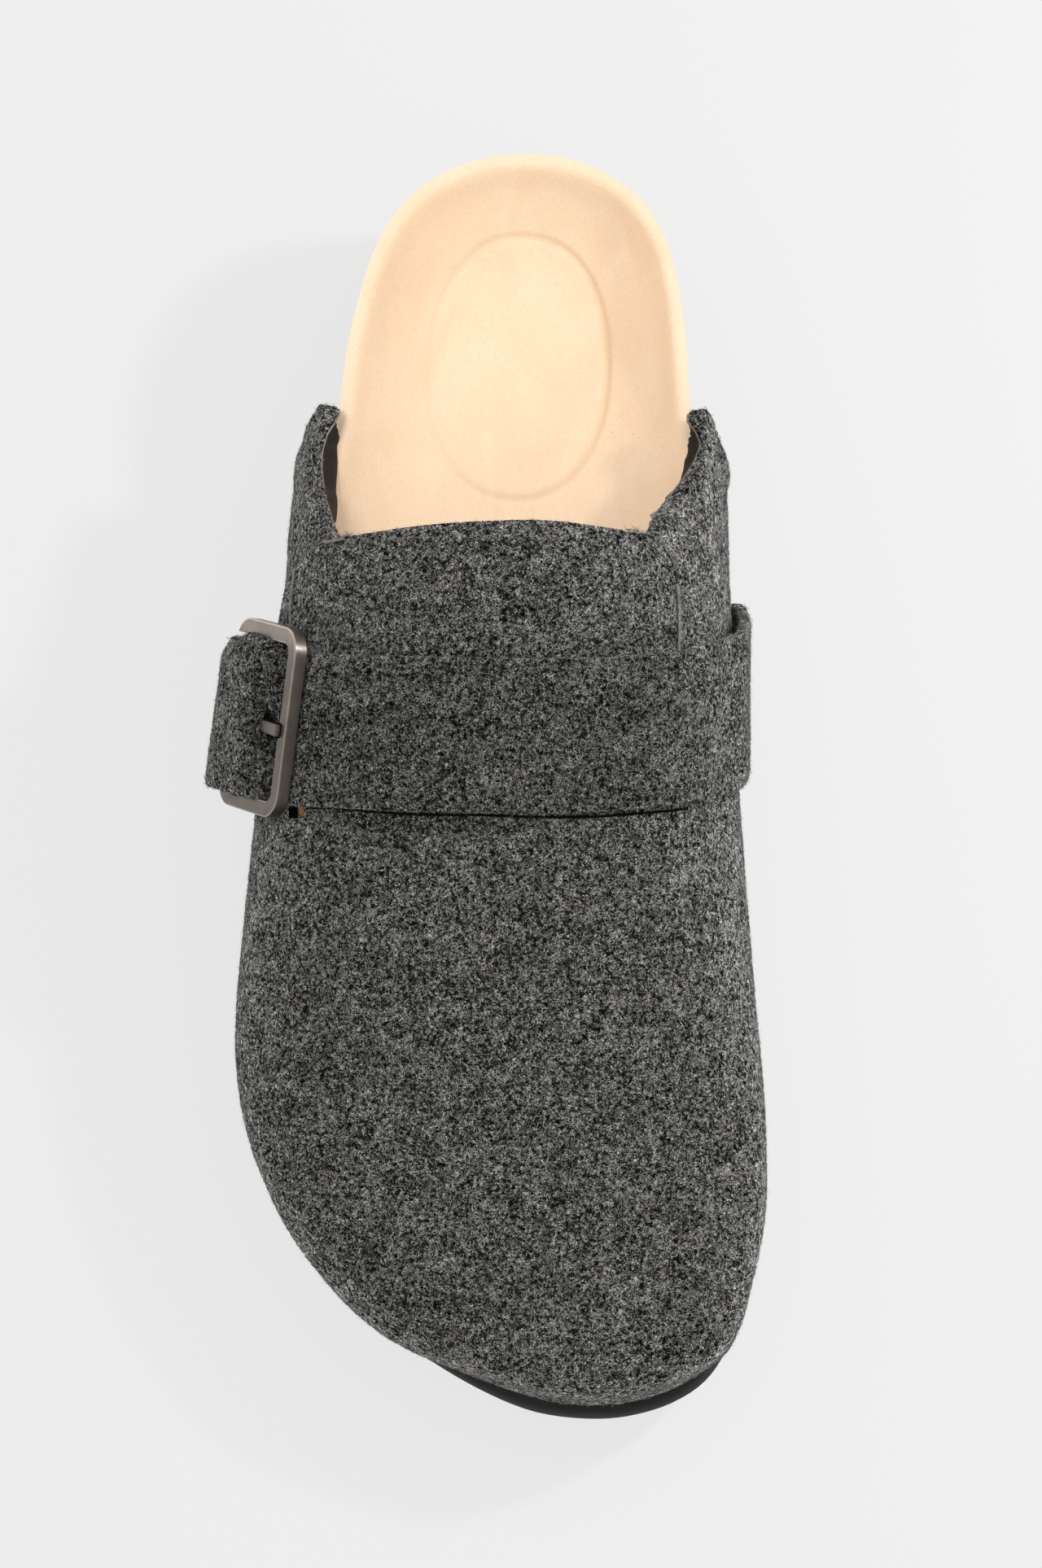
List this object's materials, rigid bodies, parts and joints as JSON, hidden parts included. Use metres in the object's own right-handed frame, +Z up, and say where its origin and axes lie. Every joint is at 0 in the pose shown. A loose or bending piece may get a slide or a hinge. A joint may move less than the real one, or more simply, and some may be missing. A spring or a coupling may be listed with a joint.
{
  "type": "buckle clog",
  "caption": "Backless felt clog for the right foot with a contoured open-heel footbed, a tongue-like vamp flap and a buckled instep strap.",
  "frame": {"origin": "on the sole's underside under the instep, on the floor plane the clog stands on", "axes": "+Y along the foot towards the heel, +X to the inner (big toe) side, +Z up"},
  "size_m": [0.1169, 0.2671, 0.087],
  "materials": {
    "sole": "matte",
    "footbed": "matte",
    "suede": "matte",
    "felt": "matte",
    "metal": "satin"
  },
  "bodies": {
    "root": {"outsole": "sole", "footbed": "footbed", "insole": "suede", "upper": "felt", "strap": "felt", "buckle_tab": "felt", "buckle_frame": "metal", "buckle_prong": "metal"}
  },
  "joints": []
}
